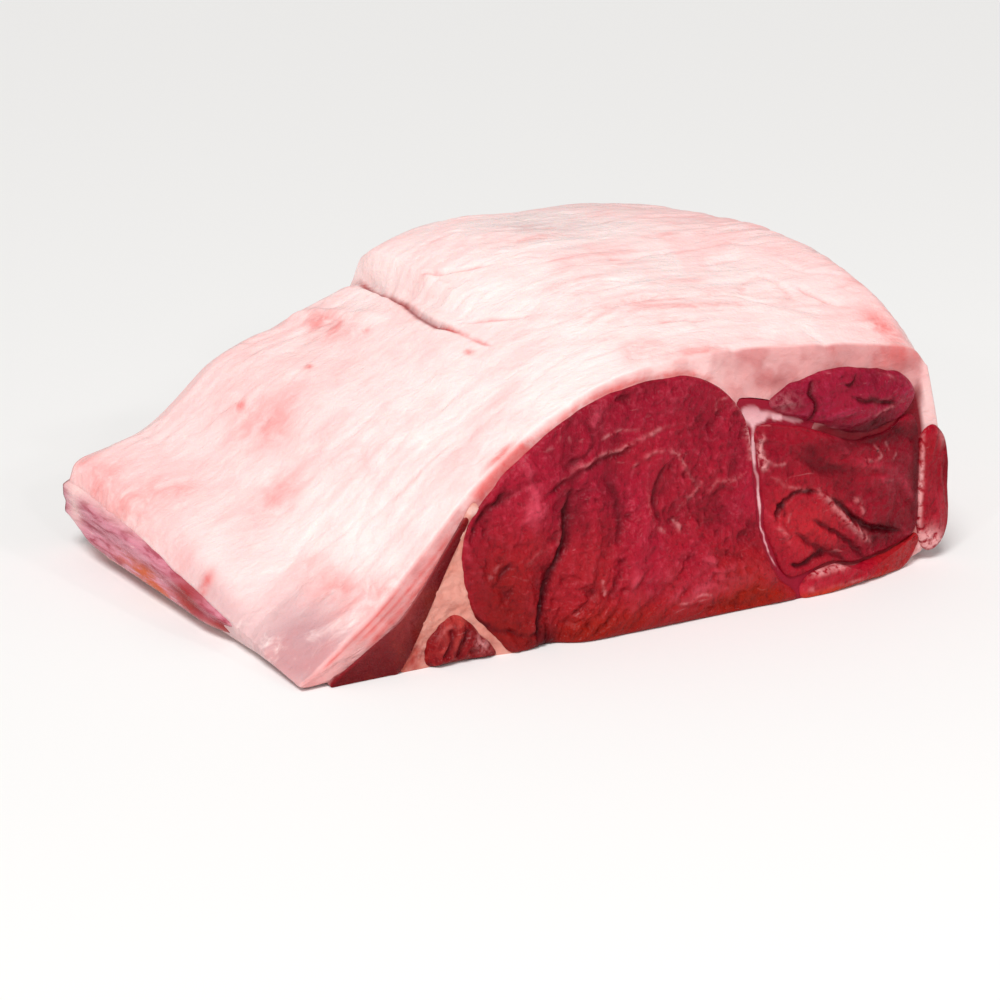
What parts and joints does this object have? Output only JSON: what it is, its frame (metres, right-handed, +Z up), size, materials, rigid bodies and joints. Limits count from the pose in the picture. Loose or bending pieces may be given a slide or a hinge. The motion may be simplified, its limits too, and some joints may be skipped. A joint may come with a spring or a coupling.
{
  "type": "beef striploin",
  "caption": "Trimmed block of raw beef striploin, fat side up, with the cut face showing its muscles, the seam between them and the fat over them.",
  "frame": {"origin": "centre of the bounding box at the height the piece rests on", "axes": "+X along the cut face from the thin tail to the chine side, +Y along the loin from the cut face to the far end, +Z up through the fat cap"},
  "size_m": [0.2778, 0.1989, 0.1155],
  "materials": {
    "fat": "moist, satin, near-white pink fat",
    "inner_fat": "moist, satin, tan fat",
    "seam": "moist, satin, pale connective tissue",
    "lean": "wet, semi-gloss, crimson raw lean",
    "dark_lean": "wet, semi-gloss, darker raw lean",
    "silverskin": "moist, lilac-pink membrane over lean"
  },
  "bodies": {
    "root": {"fat_cap": "fat", "tail_fat": "inner_fat", "seam": "seam", "eye_muscle": "lean", "top_muscle": "lean", "lower_muscle": "lean", "side_muscle": "lean", "rump_muscle": "dark_lean", "tail_muscle": "dark_lean", "flank_muscle": "silverskin"}
  },
  "joints": []
}
